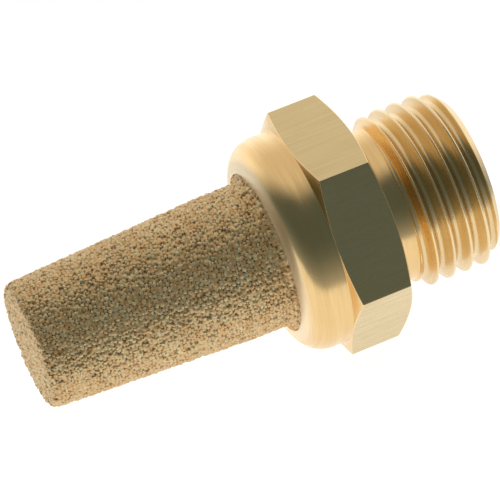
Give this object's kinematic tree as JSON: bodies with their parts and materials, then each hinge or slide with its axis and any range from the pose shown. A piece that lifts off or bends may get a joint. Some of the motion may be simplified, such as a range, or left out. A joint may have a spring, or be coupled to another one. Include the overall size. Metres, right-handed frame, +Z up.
{
  "type": "pneumatic muffler",
  "caption": "Screw-in exhaust silencer: turned brass body with external pipe thread, hexagon and round collar, holding a porous sintered bronze thimble.",
  "frame": {"origin": "under the muffler's middle, on the surface it lies on, midway between the inlet's end face and the element's tip", "axes": "+X along the muffler's axis towards the threaded inlet, +Z up, normal to the hexagon flat that faces up"},
  "size_m": [0.034, 0.0184, 0.016],
  "materials": {
    "brass": "turned and drawn bright brass, satin",
    "sintered_bronze": "sintered bronze beads, matt and porous"
  },
  "bodies": {
    "root": {"threaded_body": "brass", "sintered_element": "sintered_bronze"}
  },
  "joints": []
}
